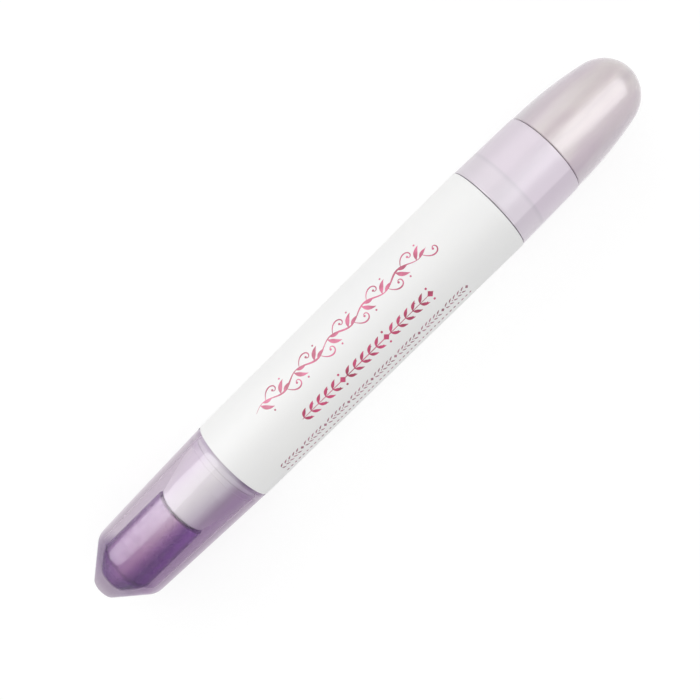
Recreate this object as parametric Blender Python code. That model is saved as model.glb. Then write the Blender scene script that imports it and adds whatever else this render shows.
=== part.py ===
"""Nail polish remover pen: a felt tip pen under a sealed cap, with spare tips under its tail cap.

Metres, +Z up. The pen lies on its side along X, with the nib end at -X. The origin is under the
middle of the pen, on the surface that it lies on. A station is a distance along the pen from its
nib end, and a corner is (station, radius, rounding).
"""

import math

import bmesh
import bpy
from mathutils import Vector

MM = 0.001

# The outside, from the nib end to the tail end
CONE_LENGTH = 6.53 * MM
CAP_LENGTH = 31.66 * MM
BARREL_LENGTH = 60.18 * MM
BAND_LENGTH = 12.78 * MM
DOME_LENGTH = 19.28 * MM
SEAM = 0.16 * MM
CAP_END_R = 2.14 * MM
CONE_BASE_R = 7.18 * MM
BARREL_FRONT_R = 8.075 * MM
BARREL_FLARE = 0.311 * MM
CAP_STEP = 0.045 * MM
BAND_STEP = 0.10 * MM
BAND_TAPER = 0.30 * MM
DOME_STEP = 0.12 * MM
DOME_END_R = 6.41 * MM
DOME_FLANK_R = 68.0 * MM
CAP_END_ROUND = 0.95 * MM
CONE_BASE_ROUND = 3.00 * MM
INNER_ROUND = 0.80 * MM
EDGE_ROUND = 0.12 * MM

# Clearance round a piece that is pushed in, and the small ridge that holds a cap on
FIT = 0.15 * MM
SNAP_RIDGE = 0.12 * MM
SNAP_WIDTH = 0.90 * MM
SNAP_INSET = 2.10 * MM

# Walls
CAP_WALL = 1.05 * MM
CAP_TIP_WALL = 2.40 * MM
DOME_WALL = 1.10 * MM
BARREL_WALL = 1.15 * MM
NOSE_WALL = 0.60 * MM
SLEEVE_WALL = 0.82 * MM
NECK_WALL = 0.62 * MM

# The sealing cup in the cap
SLEEVE_LENGTH = 13.68 * MM
CUP_WALL = 1.30 * MM
CUP_SHOULDER_ROUND = 1.20 * MM

# The nose section in the front of the barrel
NOZZLE_R = 3.55 * MM
NOZZLE_TAPER = 0.20 * MM
NOZZLE_CLEARANCE = 0.30 * MM
NOZZLE_REACH = 4.20 * MM
NOZZLE_GAP = 0.50 * MM
NOZZLE_ROUND = 0.30 * MM
SEAT_LENGTH = 5.20 * MM
FLANGE_STEP = 0.45 * MM
FLANGE_LENGTH = 1.00 * MM
NOSE_PLUG_LENGTH = 9.00 * MM
CHAMBER_SETBACK = 1.00 * MM

# The felt tips
TIP_CONE_LENGTH = 5.00 * MM
TIP_POINT_R = 0.42 * MM
TIP_POINT_ROUND = 0.40 * MM
TIP_SHOULDER_ROUND = 2.50 * MM
TIP_OUT = 5.40 * MM
TIP_IN_CORE = 2.60 * MM
SPARE_TIPS = 3

# The fluid chamber
RESERVOIR_GAP = 0.30 * MM
WRAP_THICKNESS = 0.25 * MM
WRAP_INSET = 0.60 * MM
STOPPER_LENGTH = 3.40 * MM
STOPPER_FLOOR = 1.00 * MM
STOPPER_WALL = 1.10 * MM
STOPPER_RIB = 0.25 * MM
STOPPER_RIB_WIDTH = 0.80 * MM

# The collar and the rack of spare tips
SPIGOT_LENGTH = 3.10 * MM
SPIGOT_WALL = 0.85 * MM
COLLAR_FLOOR = 1.00 * MM
NECK_LENGTH = 4.80 * MM
RACK_REACH = 1.72 * MM
RACK_FLOOR = 0.90 * MM
RACK_FOOT_LENGTH = 2.10 * MM
RACK_FOOT_STEP = 0.40 * MM
RACK_WEB = 0.30 * MM
RACK_RIM = 1.03 * MM
TIP_ROOM = 6.30 * MM

# Facets, arcs and cuts
SIDES = 24
TIP_SIDES = 20
ARC_TOLERANCE = 0.02 * MM
MERGE_DISTANCE = 0.001 * MM
OVERRUN = 1.00 * MM
EDGE_SHARE = 0.45
SMOOTH_ANGLE = math.radians(25)

# Stations of the seams
BARREL_FRONT = CAP_LENGTH + SEAM
BARREL_REAR = BARREL_FRONT + BARREL_LENGTH
BAND_FRONT = BARREL_REAR + SEAM
BAND_REAR = BAND_FRONT + BAND_LENGTH
DOME_MOUTH = BAND_REAR + SEAM
OVERALL_LENGTH = DOME_MOUTH + DOME_LENGTH

# Radii that follow the barrel's front
BARREL_REAR_R = BARREL_FRONT_R + BARREL_FLARE
CAP_MOUTH_R = BARREL_FRONT_R - CAP_STEP
BAND_FRONT_R = BARREL_REAR_R - BAND_STEP
BAND_REAR_R = BAND_FRONT_R - BAND_TAPER
DOME_BASE_R = BAND_REAR_R - DOME_STEP
BARREL_BORE_R = min(BARREL_FRONT_R, BARREL_REAR_R) - BARREL_WALL

# Colour, roughness and how clear the plastic is
FINISHES = {
    "cap_shell": ((0.78, 0.72, 0.80), 0.12, 0.35),
    "cap_cup": ((0.36, 0.20, 0.46), 0.15, 0.70),
    "barrel": ((0.90, 0.90, 0.89), 0.30, 1.0),
    "nose": ((0.88, 0.88, 0.88), 0.35, 1.0),
    "felt": ((0.90, 0.86, 0.76), 0.95, 1.0),
    "fibre": ((0.86, 0.88, 0.90), 0.90, 1.0),
    "film": ((0.85, 0.88, 0.92), 0.20, 0.60),
    "stopper": ((0.88, 0.88, 0.86), 0.45, 1.0),
    "collar": ((0.82, 0.77, 0.85), 0.15, 0.60),
    "rack": ((0.90, 0.90, 0.90), 0.40, 1.0),
    "dome": ((0.78, 0.73, 0.78), 0.12, 0.35),
}


def crossing(point_a, along_a, point_b, along_b):
    """Where two straight lines in the plane of an outline cross."""
    return point_a + along_a * ((point_b - point_a).cross(along_b) / along_a.cross(along_b))


def arc(centre, radius, start_angle, end_angle):
    """Points along an arc, as many as keep its chords within the tolerance."""
    step = 2 * math.acos(max(0, 1 - ARC_TOLERANCE / radius))
    steps = max(2, math.ceil(abs(end_angle - start_angle) / step))
    points = []
    for i in range(steps + 1):
        angle = start_angle + (end_angle - start_angle) * i / steps
        points.append(centre + Vector((math.cos(angle), math.sin(angle))) * radius)
    return points


def rounded(corners):
    """The points of an outline, with an arc at each corner that has a rounding."""
    points = []
    for i, (station, radius, rounding) in enumerate(corners):
        here = Vector((station, radius))
        if rounding == 0:
            points.append(here)
            continue
        back = Vector(corners[i - 1][:2]) - here
        ahead = Vector(corners[(i + 1) % len(corners)][:2]) - here
        half = back.angle(ahead) / 2
        room = EDGE_SHARE * min(back.length, ahead.length)
        bend = min(rounding, room * math.tan(half))
        middle = (back.normalized() + ahead.normalized()).normalized()
        centre = here + middle * bend / math.sin(half)
        start = here + back.normalized() * bend / math.tan(half) - centre
        end = here + ahead.normalized() * bend / math.tan(half) - centre
        start_angle = math.atan2(start.y, start.x)
        turn = math.remainder(math.atan2(end.y, end.x) - start_angle, math.tau)
        points += arc(centre, bend, start_angle, start_angle + turn)
    return points


def inset(corners, wall, tip_wall):
    """An open line of corners moved in by wall, with its first line, at the tip, moved in by tip_wall."""
    lines = []
    for (station_a, radius_a, _), (station_b, radius_b, _) in zip(corners, corners[1:]):
        along = Vector((station_b - station_a, radius_b - radius_a)).normalized()
        inward = Vector((along.y, -along.x)) * (wall if lines else tip_wall)
        lines.append((Vector((station_a, radius_a)) + inward, along))
    moved = [(*lines[0][0], 0)]
    for before, after in zip(lines, lines[1:]):
        moved.append((*crossing(*before, *after), INNER_ROUND))
    last, along = lines[-1]
    end = last + along * ((corners[-1][0] - last.x) / along.x)
    moved.append((*end, 0))
    return moved


def between(station, corner_a, corner_b):
    """The radius at a station on the straight line between two corners."""
    share = (station - corner_a[0]) / (corner_b[0] - corner_a[0])
    return corner_a[1] + (corner_b[1] - corner_a[1]) * share


def station_at(radius, corner_a, corner_b):
    """The station at which the straight line between two corners reaches a radius."""
    share = (radius - corner_a[1]) / (corner_b[1] - corner_a[1])
    return corner_a[0] + (corner_b[0] - corner_a[0]) * share


def ridge(station, radius, height):
    """Corners of a low ring with sloping sides. In a bore they make a groove."""
    half = SNAP_WIDTH / 2
    return [
        (station - half - height, radius, 0),
        (station - half, radius + height, 0),
        (station + half, radius + height, 0),
        (station + half + height, radius, 0),
    ]


# The centre of the dome's round end
DOME_END_CENTRE = Vector((OVERALL_LENGTH - DOME_END_R, 0))


def flank_centre():
    """The centre of the dome's long flank arc, which starts at the mouth and runs into the round end."""
    base = Vector((DOME_MOUTH, DOME_BASE_R))
    apart = DOME_END_CENTRE - base
    gap = DOME_FLANK_R - DOME_END_R
    along = (DOME_FLANK_R**2 - gap**2 + apart.length_squared) / (2 * apart.length)
    across = math.sqrt(DOME_FLANK_R**2 - along**2)
    ahead = apart.normalized()
    return base + ahead * along + Vector((ahead.y, -ahead.x)) * across


def dome_line(wall):
    """The dome's outline moved in by wall, from the mouth to the axis."""
    centre = flank_centre()
    flank = DOME_FLANK_R - wall
    mouth_angle = math.acos((DOME_MOUTH - centre.x) / flank)
    meeting = DOME_END_CENTRE - centre
    meeting_angle = math.atan2(meeting.y, meeting.x)
    points = arc(centre, flank, mouth_angle, meeting_angle)
    points += arc(DOME_END_CENTRE, DOME_END_R - wall, meeting_angle, 0)[1:-1]
    return points + [Vector((OVERALL_LENGTH - wall, 0))]


def dome_bore_r(station):
    """The radius of the dome's bore at a station on its flank."""
    centre = flank_centre()
    return centre.y + math.sqrt((DOME_FLANK_R - DOME_WALL) ** 2 - (station - centre.x) ** 2)


# The neck follows the dome's bore, the rack follows the neck, and the tips fill the rack
NECK_REAR = BAND_REAR + NECK_LENGTH
NECK_R = dome_bore_r(NECK_REAR) - FIT
COLLAR_BORE_R = NECK_R - NECK_WALL
RACK_R = COLLAR_BORE_R - FIT
PITCH_SHARE = 1 / math.sin(math.pi / SPARE_TIPS)
POCKET_R = (RACK_R - RACK_RIM - PITCH_SHARE * RACK_WEB / 2) / (1 + PITCH_SHARE)
POCKET_CIRCLE_R = PITCH_SHARE * (POCKET_R + RACK_WEB / 2)
TIP_R = POCKET_R - FIT

# The cap's outside and the inner faces that other pieces follow
CAP_CORNERS = [
    (0, 0, 0),
    (0, CAP_END_R, CAP_END_ROUND),
    (CONE_LENGTH, CONE_BASE_R, CONE_BASE_ROUND),
    (CAP_LENGTH, CAP_MOUTH_R, 0),
]
CAP_BORE = inset(CAP_CORNERS, CAP_WALL, CAP_TIP_WALL)
CUP_OUTSIDE = inset(CAP_CORNERS, CAP_WALL + FIT, CAP_TIP_WALL + FIT)
CUP_INSIDE = inset(CAP_CORNERS, CAP_WALL + FIT + CUP_WALL, CAP_TIP_WALL + FIT + CUP_WALL)

# Stations and radii from the cap to the reservoir
SLEEVE_BORE_R = NOZZLE_R + NOZZLE_CLEARANCE
SLEEVE_R = SLEEVE_BORE_R + SLEEVE_WALL
CUP_SHOULDER = station_at(SLEEVE_R, *CUP_OUTSIDE[1:3])
SLEEVE_MOUTH = CUP_SHOULDER + SLEEVE_LENGTH
NOZZLE_FACE = SLEEVE_MOUTH - NOZZLE_REACH
SHOULDER = SLEEVE_MOUTH + NOZZLE_GAP
SEAT_FRONT = BARREL_FRONT - SEAT_LENGTH
SEAT_R = between(SEAT_FRONT, *CAP_BORE[-2:]) - FIT
SNAP_STATION = CAP_LENGTH - SNAP_INSET
NOSE_PLUG_R = BARREL_BORE_R - FIT
FLANGE_R = BARREL_BORE_R + FLANGE_STEP
FLANGE_REAR = BARREL_FRONT + FLANGE_LENGTH
NOSE_REAR = FLANGE_REAR + NOSE_PLUG_LENGTH
CHAMBER_R = min(SEAT_R, NOSE_PLUG_R) - NOSE_WALL
CHAMBER_FRONT = SEAT_FRONT + CHAMBER_SETBACK
TIP_BORE_R = TIP_R + FIT
RESERVOIR_FRONT = CHAMBER_FRONT + RESERVOIR_GAP
TIP_POINT = NOZZLE_FACE - TIP_OUT
TIP_LENGTH = RESERVOIR_FRONT + TIP_IN_CORE - TIP_POINT
WRAP_R = CHAMBER_R - FIT
RESERVOIR_R = WRAP_R - WRAP_THICKNESS - FIT

# Stations and radii from the dome back to the reservoir
SPARE_POINT = OVERALL_LENGTH - DOME_WALL - TIP_ROOM
POCKET_FLOOR = SPARE_POINT - TIP_LENGTH - FIT
RACK_FRONT = POCKET_FLOOR - RACK_FLOOR
RACK_REAR = BAND_REAR + RACK_REACH
COLLAR_FLOOR_REAR = RACK_FRONT - FIT
COLLAR_FLOOR_FRONT = COLLAR_FLOOR_REAR - COLLAR_FLOOR
SPIGOT_FRONT = min(BAND_FRONT - SPIGOT_LENGTH, COLLAR_FLOOR_FRONT)
SPIGOT_R = BARREL_BORE_R - FIT
STOPPER_REAR = SPIGOT_FRONT - RESERVOIR_GAP
STOPPER_FRONT = STOPPER_REAR - STOPPER_LENGTH
RESERVOIR_REAR = STOPPER_FRONT - RESERVOIR_GAP

# The pen lies on the lowest facet of its widest ring
AXIS_HEIGHT = max(BARREL_FRONT_R, BARREL_REAR_R, CAP_MOUTH_R, BAND_FRONT_R) * math.cos(math.pi / SIDES)


def clear_scene():
    for item in list(bpy.data.objects):
        bpy.data.objects.remove(item, do_unlink=True)


def make_material(name):
    colour, roughness, alpha = FINISHES[name]
    material = bpy.data.materials.new(name)
    material.use_nodes = True
    shader = material.node_tree.nodes["Principled BSDF"]
    shader.inputs["Base Color"].default_value = (*colour, 1)
    shader.inputs["Roughness"].default_value = roughness
    shader.inputs["Metallic"].default_value = 0
    shader.inputs["Alpha"].default_value = alpha
    material.diffuse_color = (*colour, alpha)
    return material


def turned_mesh(name, outline, sides):
    """Spins an outline about the X axis. One that starts off the axis is closed into a ring."""
    half_side = math.pi / sides
    bm = bmesh.new()
    verts = []
    for station, radius in outline:
        verts.append(bm.verts.new((station, radius * math.sin(half_side), -radius * math.cos(half_side))))
    edges = [bm.edges.new(pair) for pair in zip(verts, verts[1:])]
    if outline[0][1] > MERGE_DISTANCE:
        edges.append(bm.edges.new((verts[-1], verts[0])))
    bmesh.ops.spin(
        bm, geom=verts + edges, cent=(0, 0, 0), axis=(1, 0, 0), angle=math.tau, steps=sides, use_merge=True
    )
    bmesh.ops.remove_doubles(bm, verts=bm.verts, dist=MERGE_DISTANCE)
    bmesh.ops.recalc_face_normals(bm, faces=bm.faces)
    mesh = bpy.data.meshes.new(name)
    bm.to_mesh(mesh)
    bm.free()
    mesh.shade_smooth()
    mesh.set_sharp_from_angle(angle=SMOOTH_ANGLE)
    return mesh


def place(name, mesh, axis, station, material=None, across=(0, 0)):
    """Puts a mesh on the pen's axis, or beside it, with its origin at a station."""
    item = bpy.data.objects.new(name, mesh)
    bpy.context.collection.objects.link(item)
    item.parent = axis
    item.location = (station, *across)
    if material:
        mesh.materials.clear()
        mesh.materials.append(material)
    return item


def turned(name, corners, axis, station, material, sides=SIDES):
    """A turned piece with its origin on the pen's axis at a station."""
    outline = [(along - station, radius) for along, radius in rounded(corners)]
    return place(name, turned_mesh(name, outline, sides), axis, station, make_material(material))


def nib_cap_shell(axis):
    """A thin shell with a cone end, and a groove inside its mouth for the nose section's ridge."""
    groove = ridge(SNAP_STATION, between(SNAP_STATION, *CAP_BORE[-2:]), SNAP_RIDGE)
    mouth = [(CAP_LENGTH, CAP_MOUTH_R, EDGE_ROUND), (CAP_LENGTH, CAP_BORE[-1][1], EDGE_ROUND)]
    corners = CAP_CORNERS[:-1] + mouth + groove[::-1] + CAP_BORE[-2::-1]
    return turned("nib_cap_shell", corners, axis, CAP_LENGTH, "cap_shell")


def nib_cap_inner_cup(axis):
    """A closed sleeve that seals round the nozzle. Its blunt cone sits in the shell's cone."""
    corners = CUP_OUTSIDE[:2] + [
        (CUP_SHOULDER, SLEEVE_R, CUP_SHOULDER_ROUND),
        (SLEEVE_MOUTH, SLEEVE_R, EDGE_ROUND),
        (SLEEVE_MOUTH, SLEEVE_BORE_R, 0),
        (station_at(SLEEVE_BORE_R, *CUP_INSIDE[1:3]), SLEEVE_BORE_R, 0),
        (*CUP_INSIDE[1][:2], 0),
        CUP_INSIDE[0],
    ]
    return turned("nib_cap_inner_cup", corners, axis, CAP_LENGTH, "cap_cup")


def nose_section(axis):
    """The white nose: nozzle, cone, cap seat with its ridge, flange, and the plug in the barrel."""
    corners = [
        (NOZZLE_FACE, TIP_BORE_R, EDGE_ROUND),
        (NOZZLE_FACE, NOZZLE_R - NOZZLE_TAPER, NOZZLE_ROUND),
        (SHOULDER, NOZZLE_R, 0),
        (SHOULDER, SLEEVE_R, NOZZLE_ROUND),
        (SEAT_FRONT, SEAT_R, NOZZLE_ROUND),
        *ridge(SNAP_STATION, SEAT_R, SNAP_RIDGE),
        (BARREL_FRONT, SEAT_R, 0),
        (BARREL_FRONT, FLANGE_R, EDGE_ROUND),
        (FLANGE_REAR, FLANGE_R, 0),
        (FLANGE_REAR, NOSE_PLUG_R, 0),
        (NOSE_REAR, NOSE_PLUG_R, NOZZLE_ROUND),
        (NOSE_REAR, CHAMBER_R, 0),
        (CHAMBER_FRONT, CHAMBER_R, 0),
        (CHAMBER_FRONT, TIP_BORE_R, 0),
    ]
    return turned("nose_section", corners, axis, BARREL_FRONT, "nose")


def barrel(axis):
    """A white tube, counterbored in front for the nose section's flange."""
    counterbore_r = FLANGE_R + FIT
    counterbore_floor = FLANGE_REAR + FIT
    corners = [
        (BARREL_FRONT, BARREL_FRONT_R, EDGE_ROUND),
        (BARREL_REAR, BARREL_REAR_R, EDGE_ROUND),
        (BARREL_REAR, BARREL_BORE_R, 0),
        (counterbore_floor, BARREL_BORE_R, 0),
        (counterbore_floor, counterbore_r, 0),
        (BARREL_FRONT, counterbore_r, 0),
    ]
    return turned("barrel", corners, axis, BARREL_FRONT, "barrel")


def tip_mesh():
    """A felt rod with a soft conical point. The point is at the origin and faces -X."""
    corners = [
        (0, 0, 0),
        (0, TIP_POINT_R, TIP_POINT_ROUND),
        (TIP_CONE_LENGTH, TIP_R, TIP_SHOULDER_ROUND),
        (TIP_LENGTH, TIP_R, EDGE_ROUND),
        (TIP_LENGTH, 0, 0),
    ]
    return turned_mesh("felt_tip", rounded(corners), TIP_SIDES)


def spare_place(index):
    """Where a spare tip stands beside the axis. The first is at the bottom."""
    angle = math.tau * index / SPARE_TIPS
    return (POCKET_CIRCLE_R * math.sin(angle), -POCKET_CIRCLE_R * math.cos(angle))


def felt_tips(axis):
    mesh = tip_mesh()
    material = make_material("felt")
    place("felt_tip", mesh, axis, TIP_POINT, material)
    for index in range(SPARE_TIPS):
        spare = place(f"spare_tip_{index + 1}", mesh, axis, SPARE_POINT, material, spare_place(index))
        spare.rotation_euler = (0, 0, math.pi)


def fluid_reservoir(axis):
    """The fibre core, with a short hole in front that the felt tip pushes into."""
    hole_floor = TIP_POINT + TIP_LENGTH + FIT
    corners = [
        (hole_floor, 0, 0),
        (hole_floor, TIP_BORE_R, 0),
        (RESERVOIR_FRONT, TIP_BORE_R, 0),
        (RESERVOIR_FRONT, RESERVOIR_R, NOZZLE_ROUND),
        (RESERVOIR_REAR, RESERVOIR_R, NOZZLE_ROUND),
        (RESERVOIR_REAR, 0, 0),
    ]
    return turned("fluid_reservoir", corners, axis, RESERVOIR_FRONT, "fibre")


def reservoir_wrap(axis):
    """A film round the core, open at both ends."""
    front = RESERVOIR_FRONT + WRAP_INSET
    rear = RESERVOIR_REAR - WRAP_INSET
    corners = [
        (front, WRAP_R, 0),
        (rear, WRAP_R, 0),
        (rear, WRAP_R - WRAP_THICKNESS, 0),
        (front, WRAP_R - WRAP_THICKNESS, 0),
    ]
    return turned("reservoir_wrap", corners, axis, RESERVOIR_FRONT, "film")


def rear_plug(axis):
    """A cup-shaped stopper with a sealing rib at each end."""
    outer_r = BARREL_BORE_R - FIT
    groove_r = outer_r - STOPPER_RIB
    corners = [
        (STOPPER_FRONT, 0, 0),
        (STOPPER_FRONT, outer_r, EDGE_ROUND),
        (STOPPER_FRONT + STOPPER_RIB_WIDTH, outer_r, 0),
        (STOPPER_FRONT + STOPPER_RIB_WIDTH, groove_r, 0),
        (STOPPER_REAR - STOPPER_RIB_WIDTH, groove_r, 0),
        (STOPPER_REAR - STOPPER_RIB_WIDTH, outer_r, 0),
        (STOPPER_REAR, outer_r, EDGE_ROUND),
        (STOPPER_REAR, outer_r - STOPPER_WALL, 0),
        (STOPPER_FRONT + STOPPER_FLOOR, outer_r - STOPPER_WALL, 0),
        (STOPPER_FRONT + STOPPER_FLOOR, 0, 0),
    ]
    return turned("rear_plug", corners, axis, STOPPER_FRONT, "stopper")


def tail_collar(axis):
    """The lilac band, with a spigot in the barrel in front and a neck for the dome behind."""
    corners = [
        (COLLAR_FLOOR_FRONT, 0, 0),
        (COLLAR_FLOOR_FRONT, SPIGOT_R - SPIGOT_WALL, 0),
        (SPIGOT_FRONT, SPIGOT_R - SPIGOT_WALL, 0),
        (SPIGOT_FRONT, SPIGOT_R, NOZZLE_ROUND),
        (BAND_FRONT, SPIGOT_R, 0),
        (BAND_FRONT, BAND_FRONT_R, EDGE_ROUND),
        (BAND_REAR, BAND_REAR_R, EDGE_ROUND),
        (BAND_REAR, NECK_R, 0),
        *ridge(BAND_REAR + NECK_LENGTH / 2, NECK_R, SNAP_RIDGE),
        (NECK_REAR, NECK_R, NOZZLE_ROUND),
        (NECK_REAR, COLLAR_BORE_R, EDGE_ROUND),
        (COLLAR_FLOOR_REAR, COLLAR_BORE_R, 0),
        (COLLAR_FLOOR_REAR, 0, 0),
    ]
    return turned("tail_collar", corners, axis, BAND_FRONT, "collar")


def spare_tip_rack(axis):
    """A round insert with a pocket for each spare tip, on a smaller foot."""
    foot_r = RACK_R - RACK_FOOT_STEP
    foot_rear = RACK_FRONT + RACK_FOOT_LENGTH
    corners = [
        (RACK_FRONT, 0, 0),
        (RACK_FRONT, foot_r, 0),
        (foot_rear, foot_r, 0),
        (foot_rear, RACK_R, 0),
        (RACK_REAR, RACK_R, NOZZLE_ROUND),
        (RACK_REAR, 0, 0),
    ]
    rack = turned("spare_tip_rack", corners, axis, RACK_FRONT, "rack")
    depth = RACK_REAR + OVERRUN - POCKET_FLOOR
    outline = [(0, 0), (0, POCKET_R), (depth, POCKET_R), (depth, 0)]
    mesh = turned_mesh("pocket_cutter", outline, TIP_SIDES)
    for index in range(SPARE_TIPS):
        cutter = place(f"pocket_cutter_{index + 1}", mesh, axis, POCKET_FLOOR, across=spare_place(index))
        cutter.hide_render = True
        cutter.display_type = "WIRE"
        cut = rack.modifiers.new(f"pocket_{index + 1}", "BOOLEAN")
        cut.operation = "DIFFERENCE"
        cut.solver = "EXACT"
        cut.object = cutter
    return rack


def tail_cap(axis):
    """A thin dome, with a small chamfer on the outer edge of its mouth."""
    mouth, *outside = dome_line(0)
    chamfer = [mouth - Vector((0, EDGE_ROUND)), mouth + Vector((EDGE_ROUND, 0))]
    outline = chamfer + outside + dome_line(DOME_WALL)[::-1]
    local = [(station - DOME_MOUTH, radius) for station, radius in outline]
    return place("tail_cap", turned_mesh("tail_cap", local, SIDES), axis, DOME_MOUTH, make_material("dome"))


def main():
    clear_scene()
    axis = bpy.data.objects.new("pen_axis", None)
    bpy.context.collection.objects.link(axis)
    axis.location = (-OVERALL_LENGTH / 2, 0, AXIS_HEIGHT)
    nib_cap_shell(axis)
    nib_cap_inner_cup(axis)
    nose_section(axis)
    barrel(axis)
    felt_tips(axis)
    fluid_reservoir(axis)
    reservoir_wrap(axis)
    rear_plug(axis)
    tail_collar(axis)
    spare_tip_rack(axis)
    tail_cap(axis)


main()
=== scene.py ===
"""Looks of the nail polish remover pen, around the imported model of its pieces.

Metres, +Z up. The pen lies on its side along X, with the nib end at -X. A station is a distance
along the pen from its nib end, and an outline is a list of (station, radius).
"""

import math

import bmesh
import bpy
from mathutils import Matrix, Vector


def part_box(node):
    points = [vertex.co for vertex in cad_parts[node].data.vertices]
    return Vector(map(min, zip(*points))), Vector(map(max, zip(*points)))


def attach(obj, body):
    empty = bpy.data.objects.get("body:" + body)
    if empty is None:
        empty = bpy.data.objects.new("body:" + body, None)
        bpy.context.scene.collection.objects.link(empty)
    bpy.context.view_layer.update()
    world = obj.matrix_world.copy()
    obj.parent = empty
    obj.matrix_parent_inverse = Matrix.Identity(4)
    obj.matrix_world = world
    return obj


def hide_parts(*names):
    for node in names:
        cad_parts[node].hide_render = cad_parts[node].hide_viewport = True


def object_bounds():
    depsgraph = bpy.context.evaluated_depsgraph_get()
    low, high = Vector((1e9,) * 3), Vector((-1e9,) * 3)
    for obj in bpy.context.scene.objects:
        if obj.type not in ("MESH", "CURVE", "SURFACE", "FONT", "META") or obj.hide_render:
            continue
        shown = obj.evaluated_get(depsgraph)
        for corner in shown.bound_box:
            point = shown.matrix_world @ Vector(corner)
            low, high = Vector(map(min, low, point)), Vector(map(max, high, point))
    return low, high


MM = 0.001

# The photograph's camera, worked out from the curves of the three seams
FOCAL_PIXELS = 965
IMAGE_PIXELS = 700
SENSOR_WIDTH = 36
CAMERA_STATION = 67.74 * MM
CAMERA_ASIDE = -0.55 * MM
CAMERA_RISE = 162.6 * MM
CAMERA_TILT = math.radians(3.06)
CAMERA_ROLL = math.radians(44.58)

# The studio. A lamp is (name, place, size, power, whether it only shows in reflections)
LAMPS = (
    ("overhead", (0.02, 0.02, 0.45), (0.5, 0.3), 0.36, False),
    ("left_fill", (0, 0.55, 0.30), (0.8, 0.5), 1.35, False),
    ("right_fill", (0.02, -0.50, 0.32), (0.8, 0.5), 0.40, False),
    ("nib_soft_box", (-0.19, 0.23, 0.30), (0.25, 0.30), 2.0, True),
    ("tail_soft_box", (0.26, -0.08, 0.30), (0.30, 0.36), 1.15, True),
)
AMBIENT = 0.62
FLOOR_HALF = 4
FLOOR_GAP = 0.05 * MM
FLOOR_PAPER = (0.85, 0.85, 0.85)
FLOOR_IN_SHADE = (0.22, 0.22, 0.22)
FLOOR_GLOW = 0.82

# Turned pieces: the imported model's sides, the finer ones, and how an outline is read
CAD_SIDES = 24
CAD_TIP_SIDES = 20
SIDES = 144
TIP_SIDES = 72
FINE_LENGTH = 0.40 * MM
CORNER_ANGLE = math.radians(24)
STRAIGHT_ANGLE = 1e-4
SAME_ANGLE = math.radians(1)
SAME_PLACE = 0.002 * MM

# The sleeve of the cap's inner cup
SLEEVE_EXTRA = 0.33 * MM
SLEEVE_SHIFT = 0.43 * MM
SLEEVE_EDGE = 0.30 * MM

# Materials
WHITE = (1, 1, 1)
GREY = (0.5, 0.5, 0.5)
BLACK = (0, 0, 0)
SHELL_IOR = 1.02
PLASTIC_IOR = 1.49
COAT_IOR = 1.5
FILM_IOR = 1.2
NOISE_LOW = 0.3
NOISE_HIGH = 0.7
PEN_HALF = 8 * MM
CUP_HALF = 5.2 * MM
SHELL_TINTED = 10 * MM
SHELL_CONE = (4 * MM, 8 * MM)
SHELL_MOUTH = 4 * MM

# How far the print stands above the barrel
INK_LIFT = 0.015 * MM

# Leaves and tendrils of the print, in millimetres and radians. Widths run from start to end
LEAF_STEPS = 10
LEAF_FOOT_WIDTH = 0.04
LEAF_WIDTH_SHARES = (0.55, 0.95, 1, 0.8, 0.45)
LEAF_POINT_WIDTH = 0.02
CURL_POINTS = 30
CURL_WIDTHS = (0.10, 0.26, 0.20, 0.12)
CURL_ANGLE = math.radians(60)
CURL_STEP = 0.24
CURL_FADE = 42
CURL_TURN = 0.05
CURL_TIGHTEN = 0.011
CURL_DOT = 0.20

# The vine, in millimetres. Shares are of one wave
VINE_STATIONS = (41.4, 79.6)
VINE_HEIGHT = 2.75
VINE_SWAY = 0.62
VINE_WAVES = 5
VINE_STEPS = 150
VINE_WIDTHS = (0.05, *(0.16, 0.34) * VINE_WAVES, 0.16, 0.05)
VINE_LEAF_SHARE = 0.175
VINE_CURL_SHARE = 0.16
LARGE_LEAF = {"angle": math.radians(70), "length": 2.5, "width": 0.72, "bend": -0.45}
SMALL_LEAF = {"angle": math.radians(35), "length": 1.8, "width": 0.50, "bend": -0.30}
SMALL_LEAF_AHEAD = 0.55
BERRY_PLACE = (1.35, 2.25)
BERRY_SIZE = 0.17

# The laurel, in millimetres. Shares are of the pitch between its leaves
LAUREL_STATIONS = (46.1, 75.6)
LAUREL_HEIGHT = -3.25
LAUREL_COUNT = 18
LAUREL_STEPS = 90
LAUREL_WIDTHS = (0.10, 0.16, 0.10)
LAUREL_LEAF_SHARE = 0.2
LAUREL_LEAF = {"angle": math.radians(58), "length": 1.75, "width": 0.56, "bend": -0.35}
LAUREL_DIAMOND_SHARE = 0.4
LAUREL_DIAMOND = 0.62
LAUREL_DOT_RISE = 1.15
LAUREL_DOT = 0.20
SPECK_SHARE = 0.62
SPECK_RISE = 0.75
SPECK = 0.15

# The row of small leaf pairs and the row of bars, in millimetres
BEAD_STATIONS = (37.5, 80.5)
BEAD_HEIGHT = -7.5
BEAD_COUNT = 48
BEAD_LEAF = {"angle": math.radians(56), "length": 0.95, "width": 0.30, "bend": -0.30}
BEAD_LEAF_PLACE = (-0.30, 0.12)
BEAD_DIAMOND = 0.45
BEAD_DIAMOND_STRETCH = 0.7
BEAD_DOT_AHEAD = 0.36
BEAD_DOT = 0.12
BAR_HEIGHT = -9.6
BAR_HALF = 0.25
BAR_WIDTHS = (0.26, 0.44, 0.26)
BAR_DIAMOND = 0.26

# Every sixth leaf pair and every third bar is a diamond
LEAVES_TO_DIAMOND = 6
BARS_TO_DIAMOND = 3

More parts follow.
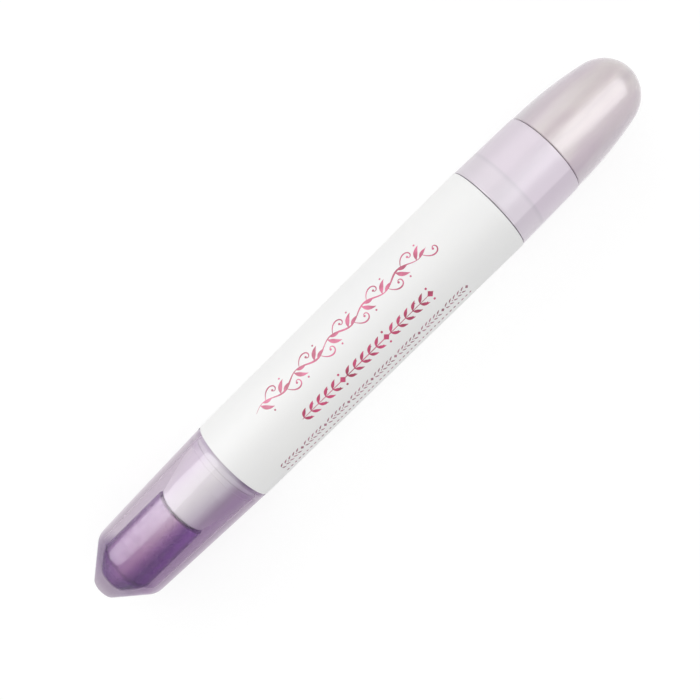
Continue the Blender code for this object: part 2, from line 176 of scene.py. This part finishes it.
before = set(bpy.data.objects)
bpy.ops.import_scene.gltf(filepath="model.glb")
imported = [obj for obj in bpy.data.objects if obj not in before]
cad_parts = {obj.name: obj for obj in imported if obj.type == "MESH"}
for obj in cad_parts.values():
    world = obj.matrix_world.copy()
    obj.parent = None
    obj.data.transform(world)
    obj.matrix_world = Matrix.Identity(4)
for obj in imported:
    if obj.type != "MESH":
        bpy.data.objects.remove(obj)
cad_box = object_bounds()
NIB_X = cad_box[0].x
AXIS_HEIGHT = (cad_box[0].z + cad_box[1].z) / 2


# Turned pieces


def node_outline(name):
    """The outline of a turned node, whether it closes on itself, and the node's own axis."""
    bm = bmesh.new()
    bm.from_mesh(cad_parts[name].data)
    bmesh.ops.remove_doubles(bm, verts=bm.verts, dist=SAME_PLACE)
    low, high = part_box(name)
    centre = ((low[1] + high[1]) / 2, (low[2] + high[2]) / 2)
    places = {v: (v.co.x - NIB_X, math.hypot(v.co.y - centre[0], v.co.z - centre[1])) for v in bm.verts}
    angles = {v: math.atan2(v.co.y - centre[0], centre[1] - v.co.z) for v in bm.verts}
    first = min(a for v, a in angles.items() if places[v][1] > SAME_PLACE and a > 0)
    near = [v for v in bm.verts if places[v][1] < SAME_PLACE or abs(angles[v] - first) < SAME_ANGLE]
    links = {v: [e.other_vert(v) for e in v.link_edges if e.other_vert(v) in near] for v in near}
    ends = [v for v in near if len(links[v]) == 1]
    chain = [ends[0] if ends else min(near, key=lambda v: places[v][0])]
    while True:
        ahead = [v for v in links[chain[-1]] if v not in chain]
        if not ahead:
            break
        chain.append(ahead[0])
    outline = [Vector(places[v]) for v in chain]
    if ends and outline[0].y > SAME_PLACE:
        outline.insert(0, Vector((outline[0].x, 0)))
    if ends and outline[-1].y > SAME_PLACE:
        outline.append(Vector((outline[-1].x, 0)))
    bm.free()
    return outline, not ends, centre


def refined(outline, closed):
    """The outline with curved runs made finer. Corners stay sharp."""
    count = len(outline)
    tangents = []
    for i, here in enumerate(outline):
        back = here - outline[i - 1]
        ahead = outline[(i + 1) % count] - here
        inner = closed or 0 < i < count - 1
        if inner and back.angle(ahead) < CORNER_ANGLE:
            tangent = (back + ahead).normalized()
            tangents.append((tangent, tangent))
        else:
            tangents.append((back.normalized(), ahead.normalized()))
    points = []
    for i in range(count if closed else count - 1):
        start, end = outline[i], outline[(i + 1) % count]
        length = (end - start).length
        out, into = tangents[i][1] * length, tangents[(i + 1) % count][0] * length
        straight = max(out.angle(end - start), into.angle(end - start)) < STRAIGHT_ANGLE
        steps = 1 if straight else max(2, math.ceil(length / FINE_LENGTH))
        for k in range(steps):
            t = k / steps
            points.append(
                start * (2 * t**3 - 3 * t**2 + 1)
                + out * (t**3 - 2 * t**2 + t)
                + end * (3 * t**2 - 2 * t**3)
                + into * (t**3 - t**2)
            )
    return points if closed else points + [outline[-1]]


def turned(name, outline, closed, body, centre, sides):
    """A smooth turned piece along X, which rides on a body."""
    verts, rings, faces = [], [], []
    for station, radius in outline:
        if radius < SAME_PLACE:
            rings.append([len(verts)] * sides)
            verts.append((NIB_X + station, *centre))
            continue
        rings.append(list(range(len(verts), len(verts) + sides)))
        for k in range(sides):
            angle = math.tau * k / sides
            across = centre[0] + radius * math.sin(angle)
            verts.append((NIB_X + station, across, centre[1] - radius * math.cos(angle)))
    pairs = list(zip(rings, rings[1:])) + ([(rings[-1], rings[0])] if closed else [])
    for front, rear in pairs:
        for k in range(sides):
            following = (k + 1) % sides
            corners = dict.fromkeys((front[k], front[following], rear[following], rear[k]))
            if len(corners) > 2:
                faces.append(tuple(corners))
    mesh = bpy.data.meshes.new(name)
    mesh.from_pydata(verts, [], faces)
    bm = bmesh.new()
    bm.from_mesh(mesh)
    bmesh.ops.recalc_face_normals(bm, faces=bm.faces)
    bm.to_mesh(mesh)
    bm.free()
    mesh.shade_smooth()
    mesh.set_sharp_from_angle(angle=CORNER_ANGLE)
    return add_piece(name, mesh, body)


def add_piece(name, mesh, body):
    """A mesh as a piece that rides on a body."""
    piece = bpy.data.objects.new(name, mesh)
    bpy.context.scene.collection.objects.link(piece)
    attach(piece, body)
    return piece


def finish(piece, made):
    """Gives a piece its one material."""
    piece.data.materials.clear()
    piece.data.materials.append(made)


def stand_for(node, body, made, sides=SIDES, cad_sides=CAD_SIDES, shaped=None):
    """A finer piece in place of a turned node. It touches the middles of the node's flat sides."""
    outline, closed, centre = node_outline(node)
    outline = shaped(outline) if shaped else outline
    facet = math.cos(math.pi / cad_sides)
    smooth = [(p.x, p.y * facet) for p in refined(outline, closed)]
    piece = turned(node + "_finish", smooth, closed, body, centre, sides)
    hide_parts(node)
    finish(piece, made)


def thicker_sleeve(outline):
    """The cup's outline with its sleeve's outside as wide as it shows through the shell."""
    widest = max(p.y for p in outline)
    mouth = max(p.x for p in outline)
    moved = []
    for p in outline:
        outside = p.y > widest - SLEEVE_EDGE
        shifts = outside and p.x <= mouth - SLEEVE_EDGE
        moved.append(Vector((p.x + SLEEVE_SHIFT * shifts, p.y + SLEEVE_EXTRA * outside)))
    return moved


# Materials


def add_node(tree, kind, **values):
    """A new node with values set on its sockets, whose names have _ for a space."""
    node = tree.nodes.new("ShaderNode" + kind)
    for socket, value in values.items():
        node.inputs[socket.replace("_", " ")].default_value = value
    return node


def feed(made, source, socket):
    """Links a node's output to a socket of the material's shader."""
    made.node_tree.links.new(source, made.node_tree.nodes["Principled BSDF"].inputs[socket])


def material(name, colour, roughness, **sockets):
    """A Principled material with its constants set on the shader's own sockets."""
    made = bpy.data.materials.new(name)
    made.use_nodes = True
    shader = made.node_tree.nodes["Principled BSDF"]
    shader.inputs["Base Color"].default_value = (*colour, 1)
    shader.inputs["Roughness"].default_value = roughness
    for socket, value in sockets.items():
        shader.inputs[socket.replace("_", " ")].default_value = value
    return made


def absorb(made, colour, density):
    """Light that passes through the material takes on a colour."""
    tree = made.node_tree
    volume = add_node(tree, "VolumeAbsorption", Color=(*colour, 1), Density=density)
    tree.links.new(volume.outputs["Volume"], tree.nodes["Material Output"].inputs["Volume"])


def noise(made, scale, along=1, detail=3, roughness=0.5):
    """A noise with its scale per metre. A value of along under 1 draws it out along the pen."""
    tree = made.node_tree
    places = add_node(tree, "TexCoord")
    mapping = add_node(tree, "Mapping", Scale=(along, 1, 1))
    texture = add_node(tree, "TexNoise", Scale=scale, Detail=detail, Roughness=roughness)
    tree.links.new(places.outputs["Object"], mapping.inputs["Vector"])
    tree.links.new(mapping.outputs["Vector"], texture.inputs["Vector"])
    return texture.outputs["Fac"]


def place_on(made, axis, low, high, waver=0.0, scale=150):
    """0 to 1 from one place to another along an axis of the piece, with an uneven edge."""
    tree = made.node_tree
    places = add_node(tree, "TexCoord")
    split = add_node(tree, "SeparateXYZ")
    spread = add_node(tree, "MapRange", From_Min=low, From_Max=high, To_Min=-waver / 2, To_Max=1 - waver / 2)
    moved = tree.nodes.new("ShaderNodeMath")
    moved.operation = "MULTIPLY_ADD"
    moved.inputs[1].default_value = waver
    tree.links.new(places.outputs["Object"], split.inputs["Vector"])
    tree.links.new(split.outputs[axis], spread.inputs["Value"])
    tree.links.new(noise(made, scale, 0.4, 2), moved.inputs[0])
    tree.links.new(spread.outputs["Result"], moved.inputs[2])
    return moved.outputs["Value"]


def ramp(made, source, *stops):
    """Colours from a number, through (position, colour) stops."""
    tree = made.node_tree
    node = tree.nodes.new("ShaderNodeValToRGB")
    elements = node.color_ramp.elements
    elements.remove(elements[1])
    elements[0].position = stops[0][0]
    elements[0].color = (*stops[0][1], 1)
    for position, colour in stops[1:]:
        elements.new(position).color = (*colour, 1)
    tree.links.new(source, node.inputs["Fac"])
    return node.outputs["Color"]


def tint(made, source, *stops):
    """Base colour from a number, through (position, colour) stops."""
    feed(made, ramp(made, source, *stops), "Base Color")


def mixed(made, share, first, second, way="MIX"):
    """A mix of two colours. Each input is a value or another node's output."""
    tree = made.node_tree
    mix = tree.nodes.new("ShaderNodeMix")
    mix.data_type = "RGBA"
    mix.blend_type = way
    colours = [socket for socket in mix.inputs if socket.type == "RGBA"]
    for value, socket in zip((share, first, second), (mix.inputs["Factor"], *colours)):
        if isinstance(value, bpy.types.NodeSocket):
            tree.links.new(value, socket)
        else:
            socket.default_value = (*value, 1) if socket in colours else value
    return [socket for socket in mix.outputs if socket.type == "RGBA"][0]


def multiply(made, first, *others):
    """Base colour from the product of colours."""
    for other in others:
        first = mixed(made, 1, first, other, "MULTIPLY")
    feed(made, first, "Base Color")


def gloss(made, source, low, high):
    """Roughness that a noise moves between two values."""
    tree = made.node_tree
    spread = add_node(tree, "MapRange", From_Min=NOISE_LOW, From_Max=NOISE_HIGH, To_Min=low, To_Max=high)
    tree.links.new(source, spread.inputs["Value"])
    feed(made, spread.outputs["Result"], "Roughness")


def bump(made, source, depth):
    """Relief from a noise, with its full height in metres."""
    tree = made.node_tree
    relief = add_node(tree, "Bump", Strength=1, Distance=depth)
    tree.links.new(source, relief.inputs["Height"])
    feed(made, relief.outputs["Normal"], "Normal")


def clear_shell():
    """Clear lilac plastic, with painted mauve shade along its -Y side, mauve over the cone and a shaded
    mouth.
    """
    made = material("clear_shell", (0.92, 0.91, 0.90), 0.05, IOR=SHELL_IOR, Transmission_Weight=1.0,
                    Coat_Weight=0.5, Coat_IOR=COAT_IOR, Coat_Roughness=0.14)
    absorb(made, (0.72, 0.66, 0.72), 240)
    low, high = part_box("nib_cap_shell")
    across = place_on(made, "Y", -PEN_HALF, PEN_HALF, 0.08)
    mouth = place_on(made, "X", high.x - SHELL_MOUTH, high.x)

    # Painted shade across the pen, from mauve on the -Y side to nearly clear, and paler in a ring beside the
    # mouth
    side = ramp(made, across,
                (0.03, (0.72, 0.65, 0.74)), (0.17, (0.60, 0.49, 0.64)), (0.26, (0.56, 0.49, 0.58)),
                (0.36, (0.78, 0.76, 0.79)), (0.50, (0.88, 0.87, 0.87)), (0.66, (0.86, 0.84, 0.86)),
                (0.76, (0.83, 0.78, 0.84)), (0.95, (0.90, 0.86, 0.90)))
    beside = ramp(made, mouth, (0.62, BLACK), (0.70, GREY), (0.86, GREY), (0.89, BLACK))
    side = mixed(made, beside, side, (0.88, 0.87, 0.89))

    # Deeper towards the tip, with painted shade darkest along the cone's +Y rim
    depth = ramp(made, place_on(made, "X", low.x, low.x + SHELL_TINTED, 0.05),
                 (0.05, (0.60, 0.54, 0.62)), (0.20, (0.65, 0.57, 0.70)), (0.30, (0.73, 0.65, 0.80)),
                 (0.46, (0.76, 0.67, 0.82)), (0.64, WHITE))
    cone = ramp(made, place_on(made, "X", low.x + SHELL_CONE[0], low.x + SHELL_CONE[1]),
                (0.3, WHITE), (0.8, BLACK))
    rim_shade = ramp(made, across, (0.60, WHITE), (0.70, (0.76, 0.71, 0.79)), (0.80, (0.52, 0.47, 0.58)))
    rim_shade = mixed(made, cone, WHITE, rim_shade)

    # The snap ridge's shade at both sides, and the seam's shade round the mouth
    ridge = ramp(made, mouth, (0.35, WHITE), (0.45, (0.84, 0.80, 0.87)), (0.58, (0.84, 0.80, 0.87)),
                 (0.66, WHITE))
    flanks = ramp(made, across, (0.07, WHITE), (0.18, BLACK), (0.84, BLACK), (0.92, WHITE))
    ridge = mixed(made, flanks, WHITE, ridge)
    seam = ramp(made, mouth, (0.885, BLACK), (0.905, WHITE))
    shade = ramp(made, across,
                 (0.12, (0.74, 0.72, 0.78)), (0.50, (0.85, 0.83, 0.88)), (0.58, (0.96, 0.95, 0.97)),
                 (0.70, (0.94, 0.93, 0.95)), (0.84, (0.84, 0.82, 0.88)))
    shade = mixed(made, seam, WHITE, shade)

    multiply(made, side, depth, rim_shade, ridge, shade)
    bump(made, noise(made, 160, 0.5, 2), 0.006 * MM)
    gloss(made, noise(made, 900), 0.03, 0.10)
    return made


def purple_cup():
    """Deep purple plastic that pales towards the cup's mouth, with painted shade along its -Y side, its +Y
    rim and its shoulder.
    """
    made = material("purple_cup", (0.42, 0.26, 0.48), 0.25, IOR=PLASTIC_IOR, Transmission_Weight=0.15,
                    Specular_IOR_Level=0.6)
    low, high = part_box("nib_cap_inner_cup")
    # Painted shade across the cup: deep towards the -Y side and in a dark streak along the +Y rim
    side = ramp(made, place_on(made, "Y", -CUP_HALF, CUP_HALF, 0.06),
                (0.03, (0.34, 0.16, 0.48)), (0.12, (0.50, 0.18, 0.74)), (0.24, (0.24, 0.08, 0.37)),
                (0.35, (0.41, 0.20, 0.48)), (0.47, (0.62, 0.43, 0.61)), (0.60, (0.62, 0.47, 0.64)),
                (0.86, (0.62, 0.49, 0.67)), (0.91, (0.30, 0.18, 0.38)), (1.0, (0.26, 0.15, 0.34)))
    # Paler towards the mouth, with painted shade in a dark band at the shoulder's crease
    depth = ramp(made, place_on(made, "X", low.x, high.x, 0.03),
                 (0.05, (0.66, 0.46, 0.80)), (0.175, (0.70, 0.48, 0.82)), (0.205, (0.42, 0.28, 0.49)),
                 (0.235, (0.60, 0.42, 0.66)), (0.50, (0.74, 0.57, 0.76)), (0.95, WHITE))
    multiply(made, side, depth)
    bump(made, noise(made, 200, 0.3, 1), 0.01 * MM)
    gloss(made, noise(made, 400), 0.22, 0.32)
    return made


def lilac_band():
    """Milky lilac plastic with painted shade towards its -Y side and rims. The insert inside it shows as a
    paler stretch with an edge.
    """
    made = material("lilac_band", (0.81, 0.75, 0.82), 0.22, IOR=PLASTIC_IOR, Transmission_Weight=0.15,
                    Coat_Weight=0.35, Coat_IOR=COAT_IOR, Coat_Roughness=0.20)
    low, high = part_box("tail_collar")
    # Across the pen: a step where the insert's edge shows through, and painted shade towards the -Y side and
    # both rims
    side = ramp(made, place_on(made, "Y", -PEN_HALF, PEN_HALF, 0.03),
                (0.08, (0.81, 0.73, 0.82)), (0.195, (0.75, 0.67, 0.76)), (0.215, (0.89, 0.81, 0.90)),
                (0.38, (0.83, 0.76, 0.84)), (0.50, (0.78, 0.72, 0.79)), (0.65, (0.86, 0.79, 0.86)),
                (0.80, (0.80, 0.73, 0.80)), (0.96, (0.75, 0.69, 0.75)))
    front = ramp(made, place_on(made, "X", low.x, high.x, 0.02),
                 (0.33, WHITE), (0.36, (0.90, 0.90, 0.91)), (0.38, (1, 0.98, 1)))
    multiply(made, side, front)
    gloss(made, noise(made, 300), 0.30, 0.38)
    bump(made, noise(made, 200, 0.4, 1), 0.006 * MM)
    return made


def pearl_dome():
    """Pearly translucent plastic with warm and mauve streaks along the pen."""
    made = material("pearl_dome", (0.74, 0.67, 0.70), 0.28, IOR=PLASTIC_IOR, Transmission_Weight=0.25,
                    Coat_Weight=1.0, Coat_IOR=COAT_IOR, Coat_Roughness=0.22)
    side = ramp(made, place_on(made, "Y", -PEN_HALF, PEN_HALF, 0.22, 190),
                (0.10, (0.74, 0.65, 0.73)), (0.18, (0.78, 0.69, 0.74)), (0.28, (0.84, 0.75, 0.79)),
                (0.42, (0.83, 0.75, 0.77)), (0.50, (0.75, 0.67, 0.70)), (0.57, (0.85, 0.77, 0.78)),
                (0.64, (0.78, 0.70, 0.71)), (0.74, (0.77, 0.70, 0.71)), (0.82, (0.73, 0.64, 0.69)),
                (0.95, (0.70, 0.64, 0.69)))
    pearl = ramp(made, noise(made, 420, 0.12), (0.35, (0.93, 0.91, 0.94)), (0.62, WHITE))
    cloud = ramp(made, noise(made, 170, 0.4, 2), (0.36, (0.93, 0.89, 0.93)), (0.52, (1, 1, 0.985)))
    multiply(made, side, pearl, cloud)
    gloss(made, noise(made, 300), 0.30, 0.38)
    bump(made, noise(made, 160, 0.5, 2), 0.06 * MM)
    return made


def moulded(name, colour, shade, roughness, **sockets):
    """An opaque moulded plastic, with a faint flow pattern and a fine grain."""
    made = material(name, colour, roughness, **sockets)
    tint(made, noise(made, 120, 0.3, 4), (0.35, shade), (0.65, colour))
    gloss(made, noise(made, 1500), roughness - 0.05, roughness + 0.05)
    bump(made, noise(made, 6000, detail=2), 0.004 * MM)
    return made


def clear_film():
    """Thin wrapping film with fine wrinkles."""
    made = material("clear_film", (0.94, 0.96, 0.98), 0.12, IOR=FILM_IOR, Transmission_Weight=0.9)
    wrinkles = noise(made, 500, 0.25, 4, 0.6)
    tint(made, wrinkles, (0.3, (0.88, 0.92, 0.96)), (0.7, (0.97, 0.98, 1.0)))
    gloss(made, noise(made, 1200), 0.08, 0.22)
    bump(made, wrinkles, 0.05 * MM)
    return made


def felt():
    """Cream felt, with fine fibres along the tip."""
    made = material("cream_felt", (0.88, 0.83, 0.72), 0.95, Sheen_Weight=0.25, Sheen_Roughness=0.5)
    fibres = noise(made, 9000, 0.12, 3, 0.6)
    tint(made, fibres, (0.3, (0.74, 0.68, 0.56)), (0.6, (0.90, 0.86, 0.76)))
    bump(made, fibres, 0.06 * MM)
    return made


def fibre_core():
    """White bonded fibre in long strands."""
    made = material("fibre_core", (0.86, 0.88, 0.90), 0.9, Sheen_Weight=0.15)
    strands = noise(made, 5000, 0.03, 3, 0.6)
    tint(made, strands, (0.3, (0.70, 0.74, 0.78)), (0.65, (0.88, 0.90, 0.92)))
    bump(made, strands, 0.08 * MM)
    return made


def ink(name, dark, light):
    """A printed red that is darker in places, as thin ink is."""
    made = material(name, light, 0.42)
    tint(made, noise(made, 420, detail=2), (0.35, dark), (0.62, light))
    gloss(made, noise(made, 2500), 0.35, 0.50)
    return made


# The ornament, drawn on a flat (station, height) sheet in millimetres and laid round the barrel


class Print:
    """Strokes and dots that become one mesh on the barrel."""

    def __init__(self, outline):
        runs = zip(outline, outline[1:] + outline[:1])
        self.ends = max(runs, key=lambda run: abs(run[1].x - run[0].x) * (run[0].y + run[1].y))
        self.verts, self.faces = [], []

    def point(self, station, height):
        """A point just above the barrel's outer wall, and its number in the mesh."""
        (station_a, radius_a), (station_b, radius_b) = self.ends
        share = (station * MM - station_a) / (station_b - station_a)
        radius = (radius_a + (radius_b - radius_a) * share) * math.cos(math.pi / CAD_SIDES) + INK_LIFT
        angle = height * MM / radius
        self.verts.append(
            (NIB_X + station * MM, radius * math.sin(angle), AXIS_HEIGHT + radius * math.cos(angle))
        )
        return len(self.verts) - 1

    def stroke(self, points, widths):
        """A ribbon along points, whose width runs evenly through the widths."""
        points = [Vector(p) for p in points]
        edges = []
        for i, here in enumerate(points):
            along = (points[min(i + 1, len(points) - 1)] - points[max(i - 1, 0)]).normalized()
            side = Vector((-along.y, along.x))
            place = i / (len(points) - 1) * (len(widths) - 1)
            low = min(int(place), len(widths) - 2)
            half = (widths[low] + (widths[low + 1] - widths[low]) * (place - low)) / 2
            edges.append((self.point(*(here + side * half)), self.point(*(here - side * half))))
        for (left_a, right_a), (left_b, right_b) in zip(edges, edges[1:]):
            self.faces.append((left_a, right_a, right_b, left_b))

    def dot(self, station, height, size, corners=12, stretch=1.0):
        """A filled disc, or a diamond where it has 4 corners."""
        turns = [math.tau * k / corners for k in range(corners)]
        ring = [
            self.point(station + size * stretch * math.cos(turn), height + size * math.sin(turn))
            for turn in turns
        ]
        self.faces.append(tuple(ring))

    def leaf(self, foot, hand, angle, length, width, bend):
        """A leaf that swells from a thin foot and ends in a point, up for hand 1 and down for -1."""
        points = []
        for k in range(LEAF_STEPS + 1):
            t = k / LEAF_STEPS
            turn = hand * (angle + bend * t)
            points.append((foot[0] + length * t * math.cos(turn), foot[1] + length * t * math.sin(turn)))
        widths = [width * share for share in LEAF_WIDTH_SHARES]
        self.stroke(points, [LEAF_FOOT_WIDTH, *widths, LEAF_POINT_WIDTH])

    def curl(self, foot, hand):
        """A tendril that winds into a small spiral with a dot at its end."""
        points = []
        here = Vector(foot)
        turn = -hand * CURL_ANGLE
        for k in range(CURL_POINTS):
            points.append(here.copy())
            here += Vector((math.cos(turn), math.sin(turn))) * CURL_STEP * (1 - k / CURL_FADE)
            turn += hand * (CURL_TURN + CURL_TIGHTEN * k)
        self.stroke(points, CURL_WIDTHS)
        self.dot(here.x, here.y, CURL_DOT)

    def piece(self, name, made):
        """The mesh as a piece on the pen, with its faces pointing out."""
        mesh = bpy.data.meshes.new(name)
        mesh.from_pydata(self.verts, [], self.faces)
        bm = bmesh.new()
        bm.from_mesh(mesh)
        for face in bm.faces:
            face.normal_update()
            middle = face.calc_center_median()
            if face.normal.dot(Vector((0, middle.y, middle.z - AXIS_HEIGHT))) < 0:
                face.normal_flip()
        bm.to_mesh(mesh)
        bm.free()
        finish(add_piece(name, mesh, "pen"), made)


def run_along(start, end, steps, height):
    """Points at even stations, at the height that a function gives for each."""
    stations = [start + (end - start) * k / steps for k in range(steps + 1)]
    return [(station, height(station)) for station in stations]


def vine(outline, made):
    """A waving stem with a large leaf, a small leaf and a tendril in each half wave."""
    pattern = Print(outline)
    start, end = VINE_STATIONS
    wave = (end - start) / VINE_WAVES

    def stem(station):
        return VINE_HEIGHT + VINE_SWAY * math.sin(math.tau * (station - start) / wave)

    pattern.stroke(run_along(start, end, VINE_STEPS, stem), VINE_WIDTHS)
    for k in range(2 * VINE_WAVES):
        station = start + wave * (k / 2 + VINE_LEAF_SHARE)
        ahead = station + SMALL_LEAF_AHEAD
        other = station + wave * VINE_CURL_SHARE
        hand = 1 if k % 2 else -1
        pattern.leaf((station, stem(station)), hand, **LARGE_LEAF)
        pattern.leaf((ahead, stem(ahead)), hand, **SMALL_LEAF)
        pattern.curl((other, stem(other)), hand)
        pattern.dot(station + BERRY_PLACE[0], stem(station) + hand * BERRY_PLACE[1], BERRY_SIZE)
    pattern.piece("vine_print", made)


def laurel(outline, made):
    """A row of paired leaves on a straight stem, parted by diamonds."""
    pattern = Print(outline)
    start, end = LAUREL_STATIONS
    pitch = (end - start) / LAUREL_COUNT
    stem = run_along(start, end, LAUREL_STEPS, lambda station: LAUREL_HEIGHT)
    pattern.stroke(stem, LAUREL_WIDTHS)
    for k in range(LAUREL_COUNT):
        station = start + pitch * (k + LAUREL_LEAF_SHARE)
        if (k + 1) % LEAVES_TO_DIAMOND == 0:
            middle = station + pitch * LAUREL_DIAMOND_SHARE
            pattern.dot(middle, LAUREL_HEIGHT, LAUREL_DIAMOND, corners=4)
            for hand in (1, -1):
                pattern.dot(middle, LAUREL_HEIGHT + hand * LAUREL_DOT_RISE, LAUREL_DOT)
            continue
        for hand in (1, -1):
            pattern.leaf((station, LAUREL_HEIGHT), hand, **LAUREL_LEAF)
        rise = SPECK_RISE if k % 2 else -SPECK_RISE
        pattern.dot(station + pitch * SPECK_SHARE, LAUREL_HEIGHT + rise, SPECK)
    pattern.piece("laurel_print", made)


def beads(outline, made):
    """A fine row of small leaf pairs, dots and diamonds, with a row of short bars below it."""
    pattern = Print(outline)
    start, end = BEAD_STATIONS
    pitch = (end - start) / BEAD_COUNT
    for k in range(BEAD_COUNT):
        station = start + pitch * (k + 0.5)
        if (k + 1) % LEAVES_TO_DIAMOND == 0:
            pattern.dot(station, BEAD_HEIGHT, BEAD_DIAMOND, corners=4, stretch=BEAD_DIAMOND_STRETCH)
            continue
        for hand in (1, -1):
            foot = (station + BEAD_LEAF_PLACE[0], BEAD_HEIGHT + hand * BEAD_LEAF_PLACE[1])
            pattern.leaf(foot, hand, **BEAD_LEAF)
        if k % 2:
            pattern.dot(station + BEAD_DOT_AHEAD, BEAD_HEIGHT, BEAD_DOT)
    for k in range(BEAD_COUNT):
        station = start + pitch * (k + 0.5)
        if (k + 1) % BARS_TO_DIAMOND == 0:
            pattern.dot(station, BAR_HEIGHT, BAR_DIAMOND, corners=4)
        else:
            bar = run_along(station - BAR_HALF, station + BAR_HALF, 2, lambda place: BAR_HEIGHT)
            pattern.stroke(bar, BAR_WIDTHS)
    pattern.piece("bead_print", made)


# The studio


def photo_camera():
    """Puts the camera where the photograph's was."""
    data = bpy.data.cameras.new("photo_camera")
    data.lens = FOCAL_PIXELS / IMAGE_PIXELS * SENSOR_WIDTH
    data.sensor_width = SENSOR_WIDTH
    camera = bpy.data.objects.new("photo_camera", data)
    bpy.context.scene.collection.objects.link(camera)
    along = Vector((math.cos(CAMERA_TILT), 0, -math.sin(CAMERA_TILT)))
    across = Vector((0, -1, 0))
    right = math.cos(CAMERA_ROLL) * along + math.sin(CAMERA_ROLL) * across
    up = math.sin(CAMERA_ROLL) * along - math.cos(CAMERA_ROLL) * across
    turn = Matrix((right, up, right.cross(up))).transposed().to_4x4()
    place = Vector((NIB_X + CAMERA_STATION, CAMERA_ASIDE, AXIS_HEIGHT + CAMERA_RISE))
    camera.matrix_world = Matrix.Translation(place) @ turn
    bpy.context.scene.camera = camera


def by_ray(tree, lighting, seen, output):
    """One shader for the light on the pen, another for what shows by itself, in gloss or through plastic."""
    path = tree.nodes.new("ShaderNodeLightPath")
    most = path.outputs["Is Camera Ray"]
    for name in ("Is Glossy Ray", "Is Transmission Ray"):
        larger = tree.nodes.new("ShaderNodeMath")
        larger.operation = "MAXIMUM"
        tree.links.new(most, larger.inputs[0])
        tree.links.new(path.outputs[name], larger.inputs[1])
        most = larger.outputs[0]
    mix = tree.nodes.new("ShaderNodeMixShader")
    tree.links.new(most, mix.inputs[0])
    tree.links.new(lighting.outputs[0], mix.inputs[1])
    tree.links.new(seen.outputs[0], mix.inputs[2])
    tree.links.new(mix.outputs[0], tree.nodes[output].inputs["Surface"])


def surround():
    """An even surround that shows as white and lights the pen less than that."""
    world = bpy.data.worlds.new("studio")
    world.use_nodes = True
    bpy.context.scene.world = world
    tree = world.node_tree
    tree.nodes.remove(tree.nodes["Background"])
    ambient = add_node(tree, "Background", Color=(*WHITE, 1), Strength=AMBIENT)
    white = add_node(tree, "Background", Color=(*WHITE, 1), Strength=1)
    by_ray(tree, ambient, white, "World Output")


def paper_floor():
    """A wide sheet of white paper, which shows as nearly white and keeps the pen's shadow."""
    half = FLOOR_HALF
    corners = [(-half, -half, 0), (half, -half, 0), (half, half, 0), (-half, half, 0)]
    mesh = bpy.data.meshes.new("floor")
    mesh.from_pydata(corners, [], [(0, 1, 2, 3)])
    floor = bpy.data.objects.new("floor", mesh)
    floor.location.z = -FLOOR_GAP
    bpy.context.scene.collection.objects.link(floor)
    paper = bpy.data.materials.new("white_paper")
    paper.use_nodes = True
    tree = paper.node_tree
    tree.nodes.remove(tree.nodes["Principled BSDF"])
    lit = add_node(tree, "BsdfDiffuse", Color=(*FLOOR_PAPER, 1))
    faint = add_node(tree, "BsdfDiffuse", Color=(*FLOOR_IN_SHADE, 1))
    glow = add_node(tree, "Emission", Strength=FLOOR_GLOW)
    both = tree.nodes.new("ShaderNodeAddShader")
    tree.links.new(faint.outputs[0], both.inputs[0])
    tree.links.new(glow.outputs[0], both.inputs[1])
    by_ray(tree, lit, both, "Material Output")
    mesh.materials.append(paper)


def area_light(name, place, size, power, gloss_only):
    """A lamp that faces the pen. One for gloss only shows in reflections and lights nothing else."""
    data = bpy.data.lights.new(name, "AREA")
    data.shape = "RECTANGLE"
    data.size, data.size_y = size
    data.energy = power
    light = bpy.data.objects.new(name, data)
    bpy.context.scene.collection.objects.link(light)
    aim = (-Vector(place)).to_track_quat("-Z", "Y")
    light.matrix_world = Matrix.Translation(place) @ aim.to_matrix().to_4x4()
    light.visible_diffuse = not gloss_only
    light.visible_transmission = not gloss_only


photo_camera()
surround()
paper_floor()
for lamp in LAMPS:
    area_light(*lamp)

# The pieces
white_nose = moulded("white_nose", (0.84, 0.84, 0.84), (0.81, 0.80, 0.82), 0.40, Specular_IOR_Level=0.15)
white_barrel = moulded("white_barrel", (0.88, 0.88, 0.87), (0.86, 0.86, 0.86), 0.55, Specular_IOR_Level=0.4)
cream_felt = felt()
stand_for("nib_cap_shell", "nib_cap", clear_shell())
stand_for("nib_cap_inner_cup", "nib_cap", purple_cup(), shaped=thicker_sleeve)
stand_for("nose_section", "pen", white_nose)
stand_for("barrel", "pen", white_barrel)
stand_for("tail_collar", "pen", lilac_band())
stand_for("tail_cap", "tail_cap", pearl_dome())
for tip in ("felt_tip", "spare_tip_1", "spare_tip_2", "spare_tip_3"):
    stand_for(tip, tip, cream_felt, TIP_SIDES, CAD_TIP_SIDES)

barrel_outline = node_outline("barrel")[0]
vine(barrel_outline, ink("crimson_ink", (0.42, 0.06, 0.13), (0.72, 0.16, 0.30)))
laurel(barrel_outline, ink("dark_crimson_ink", (0.33, 0.03, 0.08), (0.62, 0.06, 0.18)))
beads(barrel_outline, ink("maroon_ink", (0.30, 0.12, 0.16), (0.45, 0.20, 0.27)))

for name, made in (
    ("fluid_reservoir", fibre_core()),
    ("reservoir_wrap", clear_film()),
    ("rear_plug", moulded("soft_plug", (0.86, 0.86, 0.84), (0.80, 0.80, 0.78), 0.50)),
    ("spare_tip_rack", moulded("white_rack", (0.90, 0.90, 0.90), (0.86, 0.86, 0.87), 0.42)),
):
    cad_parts[name].data.materials.clear()
    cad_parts[name].data.materials.append(made)

bpy.context.scene.view_settings.view_transform = "Standard"
